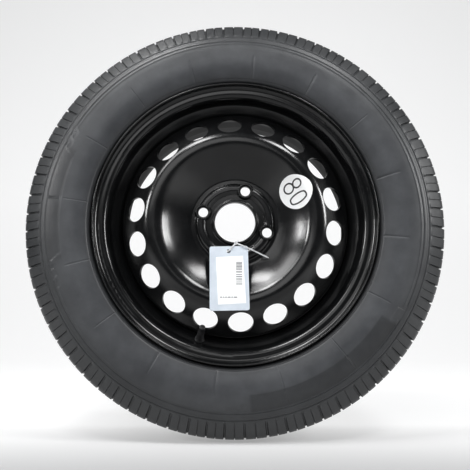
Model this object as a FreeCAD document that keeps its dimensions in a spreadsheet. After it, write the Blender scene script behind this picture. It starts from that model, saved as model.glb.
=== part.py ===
import FreeCAD, Part
import math
import os

import Sketcher

# Spare wheel: a radial tyre on a rolled steel rim with a pressed steel disc.
# Frame: origin at the wheel's centre, wheel axis along Y, +Z up, and the outer
# side of the wheel faces -Y.  In the notes d is the distance from the centre
# plane towards the outer side (d = -Y) and r the distance from the axis.

V = FreeCAD.Vector
Placement = FreeCAD.Placement
Rotation = FreeCAD.Rotation

doc = FreeCAD.newDocument("spare_wheel")
sheet = doc.addObject("Spreadsheet::Sheet", "dims")
D = {}
parts = {}


# ================================================================ dimensions
def cell(alias, value, note=""):
    """One driving dimension: a note, a plain number and its alias."""
    n = len(D) + 1
    sheet.set("A%d" % n, note or alias.replace("_", " "))
    sheet.set("B%d" % n, "%.6g" % value)
    sheet.setAlias("B%d" % n, alias)
    D[alias] = float("%.6g" % value)
    return D[alias]


def offset_right(pts, t):
    """The sheet's other side: the open line pts moved to its right by t."""
    lines = []
    for (x0, y0), (x1, y1) in zip(pts, pts[1:]):
        n = math.hypot(x1 - x0, y1 - y0)
        ux, uy = (x1 - x0) / n, (y1 - y0) / n
        lines.append((x0 + uy * t, y0 - ux * t, ux, uy))
    out = [(lines[0][0], lines[0][1])]
    for (ax, ay, aux, auy), (bx, by, bux, buy) in zip(lines, lines[1:]):
        det = aux * buy - auy * bux
        s = ((bx - ax) * buy - (by - ay) * bux) / det
        out.append((ax + s * aux, ay + s * auy))
    ex, ey, eux, euy = lines[-1]
    last = math.hypot(pts[-1][0] - pts[-2][0], pts[-1][1] - pts[-2][1])
    out.append((ex + eux * last, ey + euy * last))
    return out


def corners_of(prefix, pts):
    """Cells for the corners of a section; returns the corners as the cells hold them."""
    out = []
    for i, (x, y) in enumerate(pts):
        if abs(x) > 1e-9:
            x = math.copysign(cell("%s_x%d" % (prefix, i + 1), abs(x), "%s corner %d, across" % (prefix, i + 1)), x)
        if abs(y) > 1e-9:
            y = math.copysign(cell("%s_y%d" % (prefix, i + 1), abs(y), "%s corner %d, along" % (prefix, i + 1)), y)
        out.append((x, y))
    return out


def bends_of(prefix, corners):
    """Cells for the bend radii; corners are (r, d, radius).  Returns alias, places for each radius."""
    groups = {}
    for r, d, radius in corners:
        groups.setdefault(round(radius, 3), []).append((r, d))
    out = []
    for k, radius in enumerate(sorted(groups, reverse=True)):
        alias = "%s_bend%d" % (prefix, k + 1)
        cell(alias, radius, "%s bend radius %d" % (prefix, k + 1))
        out.append((alias, groups[radius]))
    return out


# Rim, rolled from one sheet: flange, bead seat, slope, well, ramp, bead seat, flange.
# The line is the tyre side; the side towards the axis lies one sheet in.
rim_t = cell("rim_sheet", 2.6, "rim sheet thickness")
rim_line = [
    (206.2, 89.5), (207.9, 76.2), (190.1, 76.2), (188.2, 55.0), (172.7, 41.0),
    (172.7, -6.0), (185.0, -22.0), (190.1, -76.2), (207.9, -76.2), (206.2, -89.5),
]
rim_pts = corners_of("rim", [(r, -d) for r, d in rim_line + offset_right(rim_line, rim_t)[::-1]])
tyre_side = {1: 9.5, 2: 5.0, 3: 7.6, 4: 6.0, 5: 10.0, 6: 14.6, 7: 5.0, 8: 9.5}
axis_side = {1: 6.9, 2: 7.6, 3: 5.0, 4: 8.6, 5: 12.6, 6: 12.0, 7: 7.6, 8: 6.9}
rim_round = []
for i in range(len(rim_line)):
    for k, table in ((i, tyre_side), (2 * len(rim_line) - 1 - i, axis_side)):
        rim_round.append((rim_pts[k][0], -rim_pts[k][1], table.get(i, 1.2)))
rim_bends = bends_of("rim", rim_round)

# Valve hole, square to the rim's outer slope.
valve_at = cell("valve_at", 10.4, "valve hole from the hump, along the slope")
valve_turn = cell("valve_turn", -16.8, "valve from straight down, towards +X, degrees")
cell("valve_hole_r", 5.75, "valve hole radius")
cell("valve_hole_run", 16.0, "length of the valve hole")

# Disc, pressed from one sheet: bore collar, hub face, bolt ridge, dome, vent cone
# and the band that is welded into the well.  The line is the outer side.
disc_t = cell("disc_sheet", 3.6, "disc sheet thickness")
disc_line = [
    (33.65, 60.0), (33.65, 54.6), (43.5, 54.6), (47.5, 58.0), (56.0, 58.0), (59.5, 53.6),
    (66.5, 53.6), (89.43, 62.86), (119.1, 87.76), (169.85, 50.9), (169.85, 20.0),
]
disc_pts = corners_of("disc", [(r, -d) for r, d in disc_line + offset_right(disc_line, disc_t)[::-1]])
outer_side = {
    0: 1.4, 1: 2.5, 2: 2.5, 3: 6.1, 4: 6.1, 5: 2.5, 6: 8.0, 7: 125.0, 8: 22.0, 9: 8.0, 10: 0.8,
}
inner_side = {
    0: 1.4, 1: 0.8, 2: 6.1, 3: 2.5, 4: 2.5, 5: 6.1, 6: 11.6, 7: 128.6, 8: 18.4, 9: 4.4, 10: 0.8,
}
disc_round = []
for i in range(len(disc_line)):
    for k, table in ((i, outer_side), (2 * len(disc_line) - 1 - i, inner_side)):
        disc_round.append((disc_pts[k][0], -disc_pts[k][1], table[i]))
disc_bends = bends_of("disc", disc_round)

# Bolt seats: a raised boss with a 60 degree cone and a clear hole.
cell("bolt_circle_r", 50.0, "bolt circle radius")
cell("bolt_count", 4, "bolt holes")
bolt_turn = cell("bolt_turn", 252.0, "first bolt hole, degrees from +X towards +Z")
cell("boss_base_r", 13.6)
cell("boss_top_r", 10.8)
cell("boss_rise", 7.2)
cell("bolt_hole_r", 7.25)
cell("bolt_hole_run", 30.0)
cell("seat_low_r", 7.25)
cell("seat_high_r", 9.86)
cell("seat_run", 4.52)
cell("seat_lip", 0.55, "rounding of the boss and seat edges")

# Vents: round holes square to the outer cone.
cell("vent_ring_r", 148.0, "vent centres, radius")
cell("vent_r", 18.25, "vent radius")
cell("vent_run", 32.0, "length of the vent hole")
cell("vent_count", 18, "vents")
vent_turn = cell("vent_turn", 3.2, "first vent from straight down, degrees")

# Weld beads between the disc's band and the well.
cell("weld_count", 6, "weld beads")
weld_arc = cell("weld_arc", 40.0, "arc of one bead, degrees")
weld_pts = corners_of("weld", [(166.5, -19.95), (170.05, -19.95), (170.05, -14.9), (168.6, -16.4)])

# Tyre, the same on both sides of the centre plane: five ribs and four grooves in
# the tread, shoulders, sidewalls, and beads that sit on the rim.
half = [
    (310.5, 11.0), (302.7, 11.9), (302.7, 18.1), (310.2, 19.0), (309.3, 40.0), (302.4, 40.8),
    (302.2, 46.2), (308.9, 47.0), (306.7, 70.0), (303.5, 74.5), (270.0, 95.8), (226.0, 95.8),
    (208.6, 84.5), (208.6, 76.05), (190.25, 76.05), (188.75, 59.0),
    (200.0, 62.0), (215.0, 79.0), (232.0, 87.0), (262.0, 87.5), (285.0, 80.0), (295.0, 66.0),
]
tyre_pts = corners_of("tyre", [(r, -d) for r, d in half] + [(r, d) for r, d in half[::-1]])
tyre_round = []
for i, radius in {
    9: 6.0, 10: 70.0, 11: 60.0, 12: 4.0, 13: 6.0, 14: 5.5, 17: 12.0, 18: 12.0, 19: 12.0, 20: 12.0, 21: 12.0,
}.items():
    tyre_round += [(half[i][0], half[i][1], radius), (half[i][0], -half[i][1], radius)]
tyre_bends = bends_of("tyre", tyre_round)

# Snap-in valve.  Each piece is turned about its own axis: the first number is the
# radius, the second the height over the rim's visible face, towards the cap.
valve_pieces = {
    "valve_body": ("snapin", [
        (2.62, -12.5), (6.5, -12.5), (9.0, -8.0), (7.6, -2.7), (5.6, -2.7), (5.6, 0.1), (7.2, 0.1),
        (7.2, 1.2), (6.2, 3.0), (5.6, 7.0), (4.9, 16.4), (2.62, 16.4),
    ]),
    "valve_stem": ("stem", [
        (1.2, -11.5), (2.6, -11.5), (2.6, 16.5), (3.85, 16.5), (3.85, 25.2), (3.55, 25.5), (2.15, 25.5),
        (2.15, 2.0), (1.2, 2.0),
    ]),
    "core_plug": ("plug", [(0.75, 15.05), (2.05, 15.05), (2.05, 22.0), (1.3, 23.0), (0.75, 23.0)]),
    "core_seal": ("coreseal", [(0.75, 13.0), (2.1, 13.2), (2.1, 14.6), (1.9, 15.0), (0.75, 15.0)]),
    "core_pin": ("corepin", [(0.0, 9.0), (0.55, 9.0), (0.55, 24.5), (0.35, 24.8), (0.0, 24.8)]),
    "core_cup": ("corecup", [(0.55, 11.0), (1.2, 11.0), (1.65, 11.6), (1.65, 12.95), (0.55, 12.95)]),
    "valve_cap": ("cap", [
        (0.0, 26.2), (4.05, 26.2), (4.05, 16.8), (4.75, 16.8), (4.75, 27.5), (4.0, 28.3), (0.0, 28.3),
    ]),
    "cap_seal": ("capseal", [(0.0, 25.55), (3.95, 25.55), (3.95, 26.15), (0.0, 26.15)]),
}
for name, (prefix, pts) in valve_pieces.items():
    valve_pieces[name] = (prefix, corners_of(prefix, pts))
cell("coil_r", 1.45, "spring coil radius")
cell("coil_wire_r", 0.2, "spring wire radius")
cell("coil_pitch", 1.2, "spring pitch")
cell("coil_rise", 8.4, "spring length between wire centres")
cell("coil_start", 2.3, "spring start")

# Round film sticker on the dome.
cell("dome_r", 125.0, "hollow of the dome in section")
cell("crest_r", 22.0, "crest radius in section")
cell("sticker_r", 25.6)
cell("sticker_x", 89.3)
cell("sticker_z", 43.6)
cell("sticker_gap", 0.08)
cell("sticker_film", 0.15)

# Hang tag: a stiff card that leans on the dome, and a paper label on it.
card_w = cell("card_w", 56.0)
card_l = cell("card_l", 96.0)
card_t = cell("card_stock", 0.8)
cell("card_round", 3.0)
cell("card_eyelet_r", 3.0)
lean = math.radians(cell("card_lean", 13.3, "card's lean, degrees"))
swing = math.radians(cell("card_swing", 1.1, "card's swing to the side, degrees"))
card_at = V(-8.3, -75.75, -83.85)
eyelet = V(-9.5, 0.0, -44.7)
rel_x, rel_y = eyelet.x - card_at.x, (eyelet.z - card_at.z) / math.cos(lean)
hole_x = rel_x * math.cos(swing) + rel_y * math.sin(swing)
hole_y = rel_y * math.cos(swing) - rel_x * math.sin(swing)
hole_x = math.copysign(cell("card_hole_x", abs(hole_x)), hole_x)
hole_y = math.copysign(cell("card_hole_y", abs(hole_y)), hole_y)
cell("card_half_w", card_w / 2)
cell("card_half_l", card_l / 2)
label_w = cell("label_w", 39.6)
label_l = cell("label_l", 70.8)
cell("label_stock", 0.15)
cell("label_round", 0.8)
cell("label_half_w", label_w / 2)
cell("label_half_l", label_l / 2)

# Nylon tie: strap over the card's top edge, ratchet head, and the loose tail.
strap_w = cell("strap_w", 2.0)
strap_t = cell("strap_gauge", 1.0)


def strap_side(prefix, path):
    """Side view of a strap: both faces of its middle line."""
    return corners_of(prefix, offset_right(path, -strap_t / 2) + offset_right(path, strap_t / 2)[::-1])


strap_pts = strap_side("strap", [
    (-5.6, 60.8), (-3.4, 62.6), (-1.6, 65.0), (-0.2, 67.4), (2.2, 68.1), (6.0, 67.3), (10.2, 66.7),
    (12.6, 65.2), (14.8, 63.2), (18.0, 62.5), (20.4, 61.2),
])
tail_pts = strap_side("tail", [
    (0.2, 62.9), (4.0, 64.6), (9.0, 66.7), (14.0, 67.7), (20.0, 67.6), (28.0, 66.2), (38.0, 63.6),
    (46.0, 61.6), (53.0, 60.4),
])
cell("head_l", 5.0)
cell("head_w", 4.6)
cell("head_rise", 3.2)
doc.recompute()


# ================================================================ building
def ref(alias):
    return "dims." + alias


def new_body(name):
    b = doc.addObject("PartDesign::Body", name)
    b.Label = name
    parts[name] = b
    return b


def origin_of(b, role):
    return [o for o in b.Origin.OriginFeatures if o.Role == role][0]


def new_sketch(b, name, role, offset=None):
    sk = b.newObject("Sketcher::SketchObject", name)
    sk.AttachmentSupport = [(origin_of(b, role), "")]
    sk.MapMode = "FlatFace"
    if offset is not None:
        sk.AttachmentOffset = offset
    return sk


def pin_point(sk, geo, pos, x, y, ax, ay):
    """Place one sketch point by its two distances from the origin, both bound to cells."""
    for value, alias, kind, axis in ((x, ax, "DistanceX", -2), (y, ay, "DistanceY", -1)):
        if abs(value) < 1e-9:
            sk.addConstraint(Sketcher.Constraint("PointOnObject", geo, pos, axis))
            continue
        if value > 0:
            i = sk.addConstraint(Sketcher.Constraint(kind, -1, 1, geo, pos, value))
        else:
            i = sk.addConstraint(Sketcher.Constraint(kind, geo, pos, -1, 1, -value))
        sk.setExpression("Constraints[%d]" % i, ref(alias))


def polygon(b, name, role, pts, prefix, offset=None):
    """Closed section whose corners are held by the cells prefix_x1, prefix_y1 and so on."""
    sk = new_sketch(b, name, role, offset)
    n = len(pts)
    for i in range(n):
        p, q = pts[i], pts[(i + 1) % n]
        sk.addGeometry(Part.LineSegment(V(p[0], p[1], 0), V(q[0], q[1], 0)), False)
    for i in range(n):
        sk.addConstraint(Sketcher.Constraint("Coincident", i, 2, (i + 1) % n, 1))
    for i, (x, y) in enumerate(pts):
        pin_point(sk, i, 1, x, y, "%s_x%d" % (prefix, i + 1), "%s_y%d" % (prefix, i + 1))
    return sk


def revolve(b, sk, name, angle=None):
    f = b.newObject("PartDesign::Revolution", name)
    f.Profile = sk
    f.ReferenceAxis = (sk, ["V_Axis"])
    f.Angle = 360.0
    if angle:
        f.Angle = D[angle]
        f.setExpression("Angle", ref(angle))
    b.Tip = f
    doc.recompute()
    return f


def round_edges(b, base, prefix, bends):
    """Fillets on the round edges at (r, d), one feature for each radius."""
    for k, (alias, places) in enumerate(bends):
        names = []
        for r, d in places:
            hit = [
                "Edge%d" % (i + 1)
                for i, e in enumerate(base.Shape.Edges)
                if isinstance(e.Curve, Part.Circle)
                and abs(e.Curve.Radius - r) < 0.01
                and abs(e.Curve.Center.y + d) < 0.01
            ]
            if not hit:
                raise RuntimeError("%s: no round edge at r %.3f d %.3f" % (prefix, r, d))
            names += hit
        f = b.newObject("PartDesign::Fillet", "%sBend%d" % (prefix.capitalize(), k + 1))
        f.Base = (base, names)
        f.Radius = D[alias]
        f.setExpression("Radius", ref(alias))
        b.Tip = f
        doc.recompute()
        if "Invalid" in f.State or "Error" in f.State or f.Shape.isNull():
            raise RuntimeError("%s: bend %.2f failed at %s" % (prefix, D[alias], places))
        base = f
    return base


def primitive(b, kind, name, offset, **sizes):
    """A primitive on the XZ plane: local x = X, y = Z and z = outward (-Y)."""
    f = b.newObject("PartDesign::" + kind, name)
    f.AttachmentSupport = [(origin_of(b, "XZ_Plane"), "")]
    f.MapMode = "FlatFace"
    f.AttachmentOffset = offset
    for prop, alias in sizes.items():
        setattr(f, prop, D[alias])
        f.setExpression(prop, ref(alias))
    b.Tip = f
    doc.recompute()
    return f


def around(b, name, features, alias):
    """Repeat features about the wheel axis."""
    f = b.newObject("PartDesign::PolarPattern", name)
    f.Originals = features
    f.Axis = (origin_of(b, "Y_Axis"), [""])
    f.Angle = 360.0
    f.Occurrences = int(D[alias])
    f.setExpression("Occurrences", ref(alias))
    b.Tip = f
    doc.recompute()
    return f


def must_cut(before, after, what):
    if before - after <= 1.0:
        raise RuntimeError("%s cut only %.3f" % (what, before - after))


def polar(r, d, a):
    """Point at radius r, d outward, angle a from straight down towards +X, as (X, Z, d)."""
    return V(r * math.sin(a), -r * math.cos(a), d)


# ---------------------------------------------------------------- rim
rim = new_body("rim")
sk = polygon(rim, "RimSection", "XY_Plane", rim_pts, "rim")
f = revolve(rim, sk, "RimRoll")
f = round_edges(rim, f, "rim", rim_bends)

sx, sd = rim_line[4][0] - rim_line[3][0], rim_line[4][1] - rim_line[3][1]
sl = math.hypot(sx, sd)
slope = (sx / sl, sd / sl)
nrm = (slope[1], -slope[0])  # square to the slope, towards the axis and outward
va = math.radians(valve_turn)
vr = rim_line[3][0] + slope[0] * valve_at + nrm[0] * rim_t
vd = rim_line[3][1] + slope[1] * valve_at + nrm[1] * rim_t
valve_dir = V(nrm[0] * math.sin(va), -nrm[0] * math.cos(va), nrm[1])
v0 = f.Shape.Volume
f = primitive(
    rim, "SubtractiveCylinder", "ValveHole",
    Placement(polar(vr, vd, va) - valve_dir * 8.0, Rotation(V(0, 0, 1), valve_dir)),
    Radius="valve_hole_r", Height="valve_hole_run",
)
must_cut(v0, f.Shape.Volume, "valve hole")

# ---------------------------------------------------------------- wheel disc
disc = new_body("wheel_disc")
sk = polygon(disc, "DiscSection", "XY_Plane", disc_pts, "disc")
f = revolve(disc, sk, "DiscPress")
f = round_edges(disc, f, "disc", disc_bends)

ba = math.radians(bolt_turn)
bx, bz = D["bolt_circle_r"] * math.cos(ba), D["bolt_circle_r"] * math.sin(ba)
boss = primitive(
    disc, "AdditiveCone", "BoltBoss", Placement(V(bx, bz, 53.0), Rotation()),
    Radius1="boss_base_r", Radius2="boss_top_r", Height="boss_rise",
)
at_bolt = ("dims.bolt_circle_r * cos(dims.bolt_turn)", "dims.bolt_circle_r * sin(dims.bolt_turn)")


def on_bolt_circle(feature, name):
    """Hold a feature on the bolt circle and repeat it for each bolt."""
    feature.setExpression("AttachmentOffset.Base.x", at_bolt[0])
    feature.setExpression("AttachmentOffset.Base.y", at_bolt[1])
    return around(disc, name, [feature], "bolt_count")


f = on_bolt_circle(boss, "BoltBosses")
v0 = f.Shape.Volume
hole = primitive(
    disc, "SubtractiveCylinder", "BoltHole", Placement(V(bx, bz, 40.0), Rotation()),
    Radius="bolt_hole_r", Height="bolt_hole_run",
)
must_cut(v0, hole.Shape.Volume, "bolt hole")
one = v0 - hole.Shape.Volume
f = on_bolt_circle(hole, "BoltHoles")
must_cut(v0 - 3.9 * one, f.Shape.Volume, "bolt holes")
v0 = f.Shape.Volume
seat = primitive(
    disc, "SubtractiveCone", "BoltSeat", Placement(V(bx, bz, 56.48), Rotation()),
    Radius1="seat_low_r", Radius2="seat_high_r", Height="seat_run",
)
must_cut(v0, seat.Shape.Volume, "bolt seat")
one = v0 - seat.Shape.Volume
f = on_bolt_circle(seat, "BoltSeats")
must_cut(v0 - 3.9 * one, f.Shape.Volume, "bolt seats")
lips = [
    "Edge%d" % (k + 1)
    for k, e in enumerate(f.Shape.Edges)
    if abs(e.CenterOfMass.y + 60.2) < 0.02
    and abs(math.hypot(e.CenterOfMass.x, e.CenterOfMass.z) - D["bolt_circle_r"]) < 0.5
]
if len(lips) != 2 * D["bolt_count"]:
    raise RuntimeError("%d edges on the bolt seats" % len(lips))
v0 = f.Shape.Volume
lip = disc.newObject("PartDesign::Fillet", "BoltLips")
lip.Base = (f, lips)
lip.Radius = D["seat_lip"]
lip.setExpression("Radius", ref("seat_lip"))
disc.Tip = lip
doc.recompute()
f = lip
must_cut(v0, f.Shape.Volume, "bolt lips")

vent_a = math.radians(vent_turn)
c0, c1 = disc_line[8], disc_line[9]
cl = math.hypot(c1[0] - c0[0], c1[1] - c0[1])
cone_n = ((c0[1] - c1[1]) / cl, (c1[0] - c0[0]) / cl)
vent_d = c0[1] + (D["vent_ring_r"] - c0[0]) * (c1[1] - c0[1]) / (c1[0] - c0[0])
vdir = V(cone_n[0] * math.sin(vent_a), -cone_n[0] * math.cos(vent_a), cone_n[1])
v0 = f.Shape.Volume
vent = primitive(
    disc, "SubtractiveCylinder", "Vent",
    Placement(polar(D["vent_ring_r"], vent_d, vent_a) - vdir * 16.0, Rotation(V(0, 0, 1), vdir)),
    Radius="vent_r", Height="vent_run",
)
must_cut(v0, vent.Shape.Volume, "vent")
v0 = vent.Shape.Volume
f = around(disc, "Vents", [vent], "vent_count")
must_cut(v0, f.Shape.Volume, "vent ring")

# ---------------------------------------------------------------- welds
welds = new_body("disc_welds")
if hasattr(welds, "AllowCompound"):
    welds.AllowCompound = True
sk = polygon(welds, "WeldSection", "XY_Plane", weld_pts, "weld")
f = revolve(welds, sk, "WeldBead", "weld_arc")
f = around(welds, "WeldRing", [f], "weld_count")

# ---------------------------------------------------------------- tyre
tyre = new_body("tyre")
sk = polygon(tyre, "TyreSection", "XY_Plane", tyre_pts, "tyre")
f = revolve(tyre, sk, "TyreMould")
f = round_edges(tyre, f, "tyre", tyre_bends)

# ---------------------------------------------------------------- valve
at = polar(vr, vd, va)
valve_place = Placement(
    V(at.x, -at.z, at.y), Rotation(V(0, 0, 1), V(valve_dir.x, -valve_dir.z, valve_dir.y))
)
for name, (prefix, pts) in valve_pieces.items():
    b = new_body(name)
    sk = polygon(b, prefix.capitalize() + "Section", "XZ_Plane", pts, prefix)
    revolve(b, sk, prefix.capitalize() + "Turn")
    b.Placement = valve_place

# Spring that holds the cup shut: a wire coil.
spring = new_body("core_spring")
sk = new_sketch(spring, "WireSection", "XZ_Plane")
g = sk.addGeometry(Part.Circle(V(D["coil_r"], D["coil_start"], 0), V(0, 0, 1), D["coil_wire_r"]), False)
i = sk.addConstraint(Sketcher.Constraint("Radius", g, D["coil_wire_r"]))
sk.setExpression("Constraints[%d]" % i, ref("coil_wire_r"))
pin_point(sk, g, 3, D["coil_r"], D["coil_start"], "coil_r", "coil_start")
doc.recompute()
coil = spring.newObject("PartDesign::AdditiveHelix", "Coil")
coil.Profile = sk
coil.ReferenceAxis = (sk, ["V_Axis"])
coil.Mode = 0
coil.Pitch = D["coil_pitch"]
coil.Height = D["coil_rise"]
coil.setExpression("Pitch", ref("coil_pitch"))
coil.setExpression("Height", ref("coil_rise"))
spring.Tip = coil
doc.recompute()
spring.Placement = valve_place
turns = D["coil_rise"] / D["coil_pitch"]
wire = turns * math.hypot(2 * math.pi * D["coil_r"], D["coil_pitch"]) * math.pi * D["coil_wire_r"] ** 2
if abs(coil.Shape.Volume / wire - 1) > 0.03:
    raise RuntimeError("coil volume %.4f, wire %.4f" % (coil.Shape.Volume, wire))


# ---------------------------------------------------------------- sticker
# The disc's outer line moved out by the gap, swept round the axis and trimmed to a
# circle that is square to the dome: a film that follows the dome.
def corner_arc(a, b, c, radius):
    """Arc that rounds the corner at b: its start, middle, end and centre."""
    corner = V(b[0], b[1], 0)
    u0 = V(a[0] - b[0], a[1] - b[1], 0).normalize()
    u1 = V(c[0] - b[0], c[1] - b[1], 0).normalize()
    half_angle = u0.getAngle(u1) / 2
    run = radius / math.tan(half_angle)
    centre = corner + (u0 + u1).normalize() * (radius / math.sin(half_angle))
    mid = centre + (corner - centre).normalize() * radius
    return [V(p.x, -p.y, 0) for p in (corner + u0 * run, mid, corner + u1 * run, centre)]


def dome_line(gap):
    """The dome's outer line, gap further out: up the hollow, then round the crest."""
    pts = offset_right(disc_line[6:10], -gap)
    return corner_arc(*pts[:3], D["dome_r"] - gap), corner_arc(*pts[1:], D["crest_r"] + gap)


lines = [dome_line(D["sticker_gap"]), dome_line(D["sticker_gap"] + D["sticker_film"])]
edges = []
for hollow, crest in lines:
    edges += [
        Part.Arc(*hollow[:3]).toShape(),
        Part.LineSegment(hollow[2], crest[0]).toShape(),
        Part.Arc(*crest[:3]).toShape(),
    ]
(low, low_crest), (high, high_crest) = lines
edges += [
    Part.LineSegment(low[0], high[0]).toShape(),
    Part.LineSegment(low_crest[2], high_crest[2]).toShape(),
]
band = Part.Face(Part.Wire(Part.__sortEdges__(edges))).revolve(V(0, 0, 0), V(0, 1, 0), 360.0)
sticker_rho = math.hypot(D["sticker_x"], D["sticker_z"])
hollow_r = D["dome_r"] - D["sticker_gap"]
sine = (sticker_rho - low[3].x) / hollow_r
cosine = math.sqrt(1 - sine * sine)
radial = V(D["sticker_x"], 0.0, D["sticker_z"]).normalize()
square = radial * -sine + V(0.0, -cosine, 0.0)
sticker_c = V(D["sticker_x"], low[3].y + hollow_r * cosine, D["sticker_z"])
punch = Part.makeCylinder(D["sticker_r"], 50.0, sticker_c - square * 25.0, square)
sticker = doc.addObject("Part::Feature", "speed_sticker")
sticker.Label = "speed_sticker"
sticker.Shape = band.common(punch).Solids[0]
sticker.Placement = Placement()
parts["speed_sticker"] = sticker

# ---------------------------------------------------------------- hang tag
out = V(0.0, -math.cos(lean), math.sin(lean))
card_up = V(0.0, math.sin(lean), math.cos(lean)) * math.cos(swing) - V(1, 0, 0) * math.sin(swing)
card_place = Placement(card_at, Rotation(card_up.cross(out), card_up, out, "ZXY"))


def flat_sheet(name, prefix, hole=None):
    """A flat sheet: a rectangle with rounded corners, and a hole if it has one."""
    b = new_body(name)
    w, l = prefix + "_half_w", prefix + "_half_l"
    x, y = D[w], D[l]
    s = new_sketch(b, prefix.capitalize() + "Outline", "XY_Plane")
    pts = [(-x, -y), (x, -y), (x, y), (-x, y)]
    for k in range(4):
        p, q = pts[k], pts[(k + 1) % 4]
        s.addGeometry(Part.LineSegment(V(p[0], p[1], 0), V(q[0], q[1], 0)), False)
    for k in range(4):
        s.addConstraint(Sketcher.Constraint("Coincident", k, 2, (k + 1) % 4, 1))
    for k, (px, py) in enumerate(pts):
        pin_point(s, k, 1, px, py, w, l)
    if hole:
        hx, hy, hr = hole
        g = s.addGeometry(Part.Circle(V(hx, hy, 0), V(0, 0, 1), D[hr]), False)
        k = s.addConstraint(Sketcher.Constraint("Radius", g, D[hr]))
        s.setExpression("Constraints[%d]" % k, ref(hr))
        pin_point(s, g, 3, hx, hy, prefix + "_hole_x", prefix + "_hole_y")
    pad = b.newObject("PartDesign::Pad", prefix.capitalize() + "Sheet")
    pad.Profile = s
    pad.Length = D[prefix + "_stock"]
    pad.setExpression("Length", ref(prefix + "_stock"))
    b.Tip = pad
    doc.recompute()
    names = [
        "Edge%d" % (k + 1)
        for k, e in enumerate(pad.Shape.Edges)
        if abs(abs(e.CenterOfMass.x) - x) < 0.01 and abs(abs(e.CenterOfMass.y) - y) < 0.01
    ]
    fl = b.newObject("PartDesign::Fillet", prefix.capitalize() + "Corners")
    fl.Base = (pad, names)
    fl.Radius = D[prefix + "_round"]
    fl.setExpression("Radius", ref(prefix + "_round"))
    b.Tip = fl
    doc.recompute()
    return b


card = flat_sheet("tag_card", "card", (hole_x, hole_y, "card_eyelet_r"))
card.Placement = card_place
label = flat_sheet("tag_label", "label")
label.Placement = card_place.multiply(
    Placement(V(2.2, -3.3, card_t + 0.03), Rotation(V(0, 0, 1), 2.2))
)

# Tie.  Only the stretch in front of the disc is a solid, so the bore and the bolt
# holes stay open.
tie = new_body("tag_tie")
eye = V(eyelet.x, eyelet.z, 0.0)
head_c = V(1.3, -32.0, 0.0)
tail_end = V(50.0, -53.8, 0.0)
outward = V(0, 0, 1)
dir_e = (head_c - eye).normalize()
dir_t = (tail_end - head_c).normalize()


def strap(prefix, base, direction, pts):
    """A flat strap in the plane of direction and d: its side view, padded by its width."""
    frame = Placement(base, Rotation(direction, outward, direction.cross(outward), "ZXY"))
    s = polygon(tie, prefix.capitalize() + "Side", "XZ_Plane", pts, prefix, frame)
    pad = tie.newObject("PartDesign::Pad", prefix.capitalize())
    pad.Profile = s
    pad.Length = D["strap_w"]
    pad.setExpression("Length", ref("strap_w"))
    if hasattr(pad, "SideType"):
        pad.SideType = "Symmetric"
    else:
        pad.Midplane = True
    tie.Tip = pad
    doc.recompute()
    return pad


strap("strap", eye, dir_e, strap_pts)
across = outward.cross(dir_e)
head_base = head_c - dir_e * 1.7 - across * (D["head_w"] / 2) + outward * 61.0
primitive(
    tie, "AdditiveBox", "RatchetHead", Placement(head_base, Rotation(dir_e, across, outward, "ZXY")),
    Length="head_l", Width="head_w", Height="head_rise",
)
strap("tail", head_c, dir_t, tail_pts)

# ================================================================ check and write
doc.recompute()
for obj in doc.Objects:
    if "Invalid" in obj.State or "Error" in obj.State:
        raise RuntimeError("%s failed: %s" % (obj.Name, obj.State))
for name, obj in parts.items():
    shape = obj.Shape
    if shape.isNull() or not shape.isValid() or not shape.Solids:
        raise RuntimeError("%s has no valid shape" % name)
os.makedirs("parts", exist_ok=True)
for name, obj in parts.items():
    shape = obj.Shape
    print("%-14s solids %d volume %10.2f" % (name, len(shape.Solids), shape.Volume))
    shape.exportStep("parts/%s.step" % name)
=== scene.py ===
"""Looks of a spare wheel: moulded tyre, painted steel wheel, valve, sticker and hang tag."""

import math

import bpy
import numpy as np
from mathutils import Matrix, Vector
from mathutils.bvhtree import BVHTree


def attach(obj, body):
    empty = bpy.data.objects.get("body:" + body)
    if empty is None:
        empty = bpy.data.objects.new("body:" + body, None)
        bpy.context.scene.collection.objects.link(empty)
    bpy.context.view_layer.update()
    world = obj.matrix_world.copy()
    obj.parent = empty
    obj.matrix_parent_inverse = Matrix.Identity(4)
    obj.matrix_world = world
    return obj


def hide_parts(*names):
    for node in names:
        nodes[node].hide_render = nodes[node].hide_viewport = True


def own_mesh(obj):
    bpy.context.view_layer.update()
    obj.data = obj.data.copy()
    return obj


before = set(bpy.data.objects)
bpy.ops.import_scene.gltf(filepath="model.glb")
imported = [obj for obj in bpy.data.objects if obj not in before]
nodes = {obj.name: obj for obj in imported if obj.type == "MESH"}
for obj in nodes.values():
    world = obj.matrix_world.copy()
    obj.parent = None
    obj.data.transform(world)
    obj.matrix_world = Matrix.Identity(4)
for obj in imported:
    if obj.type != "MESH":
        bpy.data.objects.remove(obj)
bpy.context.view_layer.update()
scene = bpy.context.scene
MM = 0.001
TAU = 2.0 * math.pi


# ---------------------------------------------------------------- small helpers
def add_object(name, verts_mm, faces, material, smooth_deg=38.0):
    """A mesh object from points in millimetres, with smooth shading up to an angle."""
    mesh = bpy.data.meshes.new(name)
    mesh.from_pydata((np.asarray(verts_mm, float) * MM).tolist(), [], faces)
    mesh.validate()
    mesh.update()
    mesh.polygons.foreach_set("use_smooth", [True] * len(mesh.polygons))
    mesh.set_sharp_from_angle(angle=math.radians(smooth_deg))
    obj = bpy.data.objects.new(name, mesh)
    scene.collection.objects.link(obj)
    obj.data.materials.append(material)
    return obj


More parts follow.
